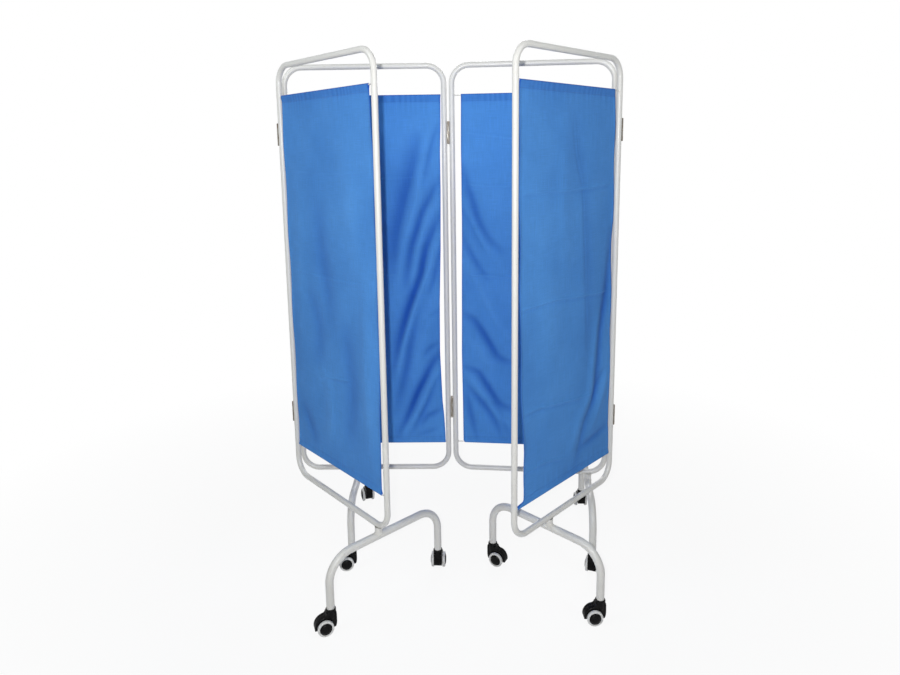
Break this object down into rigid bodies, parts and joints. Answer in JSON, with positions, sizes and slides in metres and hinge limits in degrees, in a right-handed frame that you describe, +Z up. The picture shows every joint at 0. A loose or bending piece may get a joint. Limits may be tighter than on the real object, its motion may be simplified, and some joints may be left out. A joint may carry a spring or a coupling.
{
  "type": "folding privacy screen",
  "caption": "Free-standing folding ward screen: tubular panels with blue curtains, joined by butt hinges, each on a bent-tube foot with swivel casters.",
  "frame": {"origin": "middle of the whole screen's base on the floor, as it stands part folded", "axes": "+Z up; -Y is the front, the side towards which the two outer panels fold; X runs along the rear pair of panels"},
  "size_m": [1.1688, 0.8378, 1.7365],
  "materials": {
    "white_paint": "satin",
    "rod_paint": "satin",
    "blue_cloth": "plain woven",
    "hinge_steel": "zinc plated",
    "black_plastic": "gloss",
    "grey_tread": "matt"
  },
  "bodies": {
    "panel1": {"panel1_frame": "white_paint", "panel1_top_rod": "rod_paint", "panel1_bottom_rod": "rod_paint", "panel1_curtain": "blue_cloth", "panel1_foot_arch": "white_paint", "panel1_foot_post": "white_paint", "left_hinge_upper_plain_leaf": "hinge_steel", "left_hinge_lower_plain_leaf": "hinge_steel"},
    "panel1_front_caster": {"panel1_front_caster_housing": "black_plastic"},
    "panel1_front_caster_left_wheel": {"panel1_front_caster_left_wheel": "grey_tread"},
    "panel1_front_caster_right_wheel": {"panel1_front_caster_right_wheel": "grey_tread"},
    "panel1_back_caster": {"panel1_back_caster_housing": "black_plastic"},
    "panel1_back_caster_left_wheel": {"panel1_back_caster_left_wheel": "grey_tread"},
    "panel1_back_caster_right_wheel": {"panel1_back_caster_right_wheel": "grey_tread"},
    "panel2": {"panel2_frame": "white_paint", "panel2_top_rod": "rod_paint", "panel2_bottom_rod": "rod_paint", "panel2_curtain": "blue_cloth", "panel2_foot_arch": "white_paint", "panel2_foot_post": "white_paint", "left_hinge_upper_pin_leaf": "hinge_steel", "left_hinge_lower_pin_leaf": "hinge_steel", "centre_hinge_upper_pin_leaf": "hinge_steel", "centre_hinge_lower_pin_leaf": "hinge_steel"},
    "panel2_front_caster": {"panel2_front_caster_housing": "black_plastic"},
    "panel2_front_caster_left_wheel": {"panel2_front_caster_left_wheel": "grey_tread"},
    "panel2_front_caster_right_wheel": {"panel2_front_caster_right_wheel": "grey_tread"},
    "panel2_back_caster": {"panel2_back_caster_housing": "black_plastic"},
    "panel2_back_caster_left_wheel": {"panel2_back_caster_left_wheel": "grey_tread"},
    "panel2_back_caster_right_wheel": {"panel2_back_caster_right_wheel": "grey_tread"},
    "panel3": {"panel3_frame": "white_paint", "panel3_top_rod": "rod_paint", "panel3_bottom_rod": "rod_paint", "panel3_curtain": "blue_cloth", "panel3_foot_arch": "white_paint", "panel3_foot_post": "white_paint", "centre_hinge_upper_plain_leaf": "hinge_steel", "centre_hinge_lower_plain_leaf": "hinge_steel", "right_hinge_upper_pin_leaf": "hinge_steel", "right_hinge_lower_pin_leaf": "hinge_steel"},
    "panel3_front_caster": {"panel3_front_caster_housing": "black_plastic"},
    "panel3_front_caster_left_wheel": {"panel3_front_caster_left_wheel": "grey_tread"},
    "panel3_front_caster_right_wheel": {"panel3_front_caster_right_wheel": "grey_tread"},
    "panel3_back_caster": {"panel3_back_caster_housing": "black_plastic"},
    "panel3_back_caster_left_wheel": {"panel3_back_caster_left_wheel": "grey_tread"},
    "panel3_back_caster_right_wheel": {"panel3_back_caster_right_wheel": "grey_tread"},
    "panel4": {"panel4_frame": "white_paint", "panel4_top_rod": "rod_paint", "panel4_bottom_rod": "rod_paint", "panel4_curtain": "blue_cloth", "panel4_foot_arch": "white_paint", "panel4_foot_post": "white_paint", "right_hinge_upper_plain_leaf": "hinge_steel", "right_hinge_lower_plain_leaf": "hinge_steel"},
    "panel4_front_caster": {"panel4_front_caster_housing": "black_plastic"},
    "panel4_front_caster_left_wheel": {"panel4_front_caster_left_wheel": "grey_tread"},
    "panel4_front_caster_right_wheel": {"panel4_front_caster_right_wheel": "grey_tread"},
    "panel4_back_caster": {"panel4_back_caster_housing": "black_plastic"},
    "panel4_back_caster_left_wheel": {"panel4_back_caster_left_wheel": "grey_tread"},
    "panel4_back_caster_right_wheel": {"panel4_back_caster_right_wheel": "grey_tread"}
  },
  "joints": [
    {"name": "left_fold", "type": "hinge", "parent": "panel2", "child": "panel1", "pos_m": [-0.5717, 0.11755, 0.75], "axis": [0, 0, -1], "range_deg": [-47, 133]},
    {"name": "centre_fold", "type": "hinge", "parent": "panel2", "child": "panel3", "pos_m": [-0.00065, 0.16701, 0.75], "axis": [0, 0, 1], "range_deg": [-3.8, 185.7]},
    {"name": "right_fold", "type": "hinge", "parent": "panel3", "child": "panel4", "pos_m": [0.57039, 0.11755, 0.75], "axis": [0, 0, 1], "range_deg": [-52, 128]},
    {"name": "panel1_front_caster_swivel", "type": "hinge", "parent": "panel1", "child": "panel1_front_caster", "pos_m": [-0.04181, -0.06724, 0.074], "axis": [0, 0, 1], "continuous": true},
    {"name": "panel1_front_caster_left_wheel_spin", "type": "hinge", "parent": "panel1_front_caster", "child": "panel1_front_caster_left_wheel", "pos_m": [-0.05625, -0.0472, 0.025], "axis": [-1, 0.0026, 0], "continuous": true},
    {"name": "panel1_front_caster_right_wheel_spin", "type": "hinge", "parent": "panel1_front_caster", "child": "panel1_front_caster_right_wheel", "pos_m": [-0.02725, -0.04728, 0.025], "axis": [1, -0.0026, 0], "continuous": true},
    {"name": "panel1_back_caster_swivel", "type": "hinge", "parent": "panel1", "child": "panel1_back_caster", "pos_m": [-0.3441, -0.37864, 0.074], "axis": [0, 0, 1], "continuous": true},
    {"name": "panel1_back_caster_left_wheel_spin", "type": "hinge", "parent": "panel1_back_caster", "child": "panel1_back_caster_left_wheel", "pos_m": [-0.35616, -0.4002, 0.025], "axis": [0.4202, -0.9074, 0], "continuous": true},
    {"name": "panel1_back_caster_right_wheel_spin", "type": "hinge", "parent": "panel1_back_caster", "child": "panel1_back_caster_right_wheel", "pos_m": [-0.36835, -0.37389, 0.025], "axis": [-0.4202, 0.9074, 0], "continuous": true},
    {"name": "panel2_front_caster_swivel", "type": "hinge", "parent": "panel2", "child": "panel2_front_caster", "pos_m": [-0.34431, -0.06787, 0.074], "axis": [0, 0, 1], "continuous": true},
    {"name": "panel2_front_caster_left_wheel_spin", "type": "hinge", "parent": "panel2_front_caster", "child": "panel2_front_caster_left_wheel", "pos_m": [-0.35992, -0.08701, 0.025], "axis": [0.2563, -0.9666, 0], "continuous": true},
    {"name": "panel2_front_caster_right_wheel_spin", "type": "hinge", "parent": "panel2_front_caster", "child": "panel2_front_caster_right_wheel", "pos_m": [-0.36735, -0.05898, 0.025], "axis": [-0.2563, 0.9666, 0], "continuous": true},
    {"name": "panel2_back_caster_swivel", "type": "hinge", "parent": "panel2", "child": "panel2_back_caster", "pos_m": [-0.36589, 0.36559, 0.074], "axis": [0, 0, 1], "continuous": true},
    {"name": "panel2_back_caster_left_wheel_spin", "type": "hinge", "parent": "panel2_back_caster", "child": "panel2_back_caster_left_wheel", "pos_m": [-0.38701, 0.37839, 0.025], "axis": [-0.9215, -0.3883, 0], "continuous": true},
    {"name": "panel2_back_caster_right_wheel_spin", "type": "hinge", "parent": "panel2_back_caster", "child": "panel2_back_caster_right_wheel", "pos_m": [-0.36029, 0.38965, 0.025], "axis": [0.9215, 0.3883, 0], "continuous": true},
    {"name": "panel3_front_caster_swivel", "type": "hinge", "parent": "panel3", "child": "panel3_front_caster", "pos_m": [0.48779, -0.07508, 0.074], "axis": [0, 0, 1], "continuous": true},
    {"name": "panel3_front_caster_left_wheel_spin", "type": "hinge", "parent": "panel3_front_caster", "child": "panel3_front_caster_left_wheel", "pos_m": [0.47971, -0.05174, 0.025], "axis": [-0.9571, 0.2899, 0], "continuous": true},
    {"name": "panel3_front_caster_right_wheel_spin", "type": "hinge", "parent": "panel3_front_caster", "child": "panel3_front_caster_right_wheel", "pos_m": [0.50747, -0.06014, 0.025], "axis": [0.9571, -0.2899, 0], "continuous": true},
    {"name": "panel3_back_caster_swivel", "type": "hinge", "parent": "panel3", "child": "panel3_back_caster", "pos_m": [0.50937, 0.35838, 0.074], "axis": [0, 0, 1], "continuous": true},
    {"name": "panel3_back_caster_left_wheel_spin", "type": "hinge", "parent": "panel3_back_caster", "child": "panel3_back_caster_left_wheel", "pos_m": [0.49379, 0.37756, 0.025], "axis": [-0.9985, -0.055, 0], "continuous": true},
    {"name": "panel3_back_caster_right_wheel_spin", "type": "hinge", "parent": "panel3_back_caster", "child": "panel3_back_caster_right_wheel", "pos_m": [0.52275, 0.37915, 0.025], "axis": [0.9985, 0.055, 0], "continuous": true},
    {"name": "panel4_front_caster_swivel", "type": "hinge", "parent": "panel4", "child": "panel4_front_caster", "pos_m": [0.14897, -0.01894, 0.074], "axis": [0, 0, 1], "continuous": true},
    {"name": "panel4_front_caster_left_wheel_spin", "type": "hinge", "parent": "panel4_front_caster", "child": "panel4_front_caster_left_wheel", "pos_m": [0.17329, -0.01461, 0.025], "axis": [0.436, 0.8999, 0], "continuous": true},
    {"name": "panel4_front_caster_right_wheel_spin", "type": "hinge", "parent": "panel4_front_caster", "child": "panel4_front_caster_right_wheel", "pos_m": [0.16065, -0.0407, 0.025], "axis": [-0.436, -0.8999, 0], "continuous": true},
    {"name": "panel4_back_caster_swivel", "type": "hinge", "parent": "panel4", "child": "panel4_back_caster", "pos_m": [0.47726, -0.30281, 0.074], "axis": [0, 0, 1], "continuous": true},
    {"name": "panel4_back_caster_left_wheel_spin", "type": "hinge", "parent": "panel4_back_caster", "child": "panel4_back_caster_left_wheel", "pos_m": [0.45922, -0.31968, 0.025], "axis": [0.1245, -0.9922, 0], "continuous": true},
    {"name": "panel4_back_caster_right_wheel_spin", "type": "hinge", "parent": "panel4_back_caster", "child": "panel4_back_caster_right_wheel", "pos_m": [0.45561, -0.29091, 0.025], "axis": [-0.1245, 0.9922, 0], "continuous": true}
  ]
}
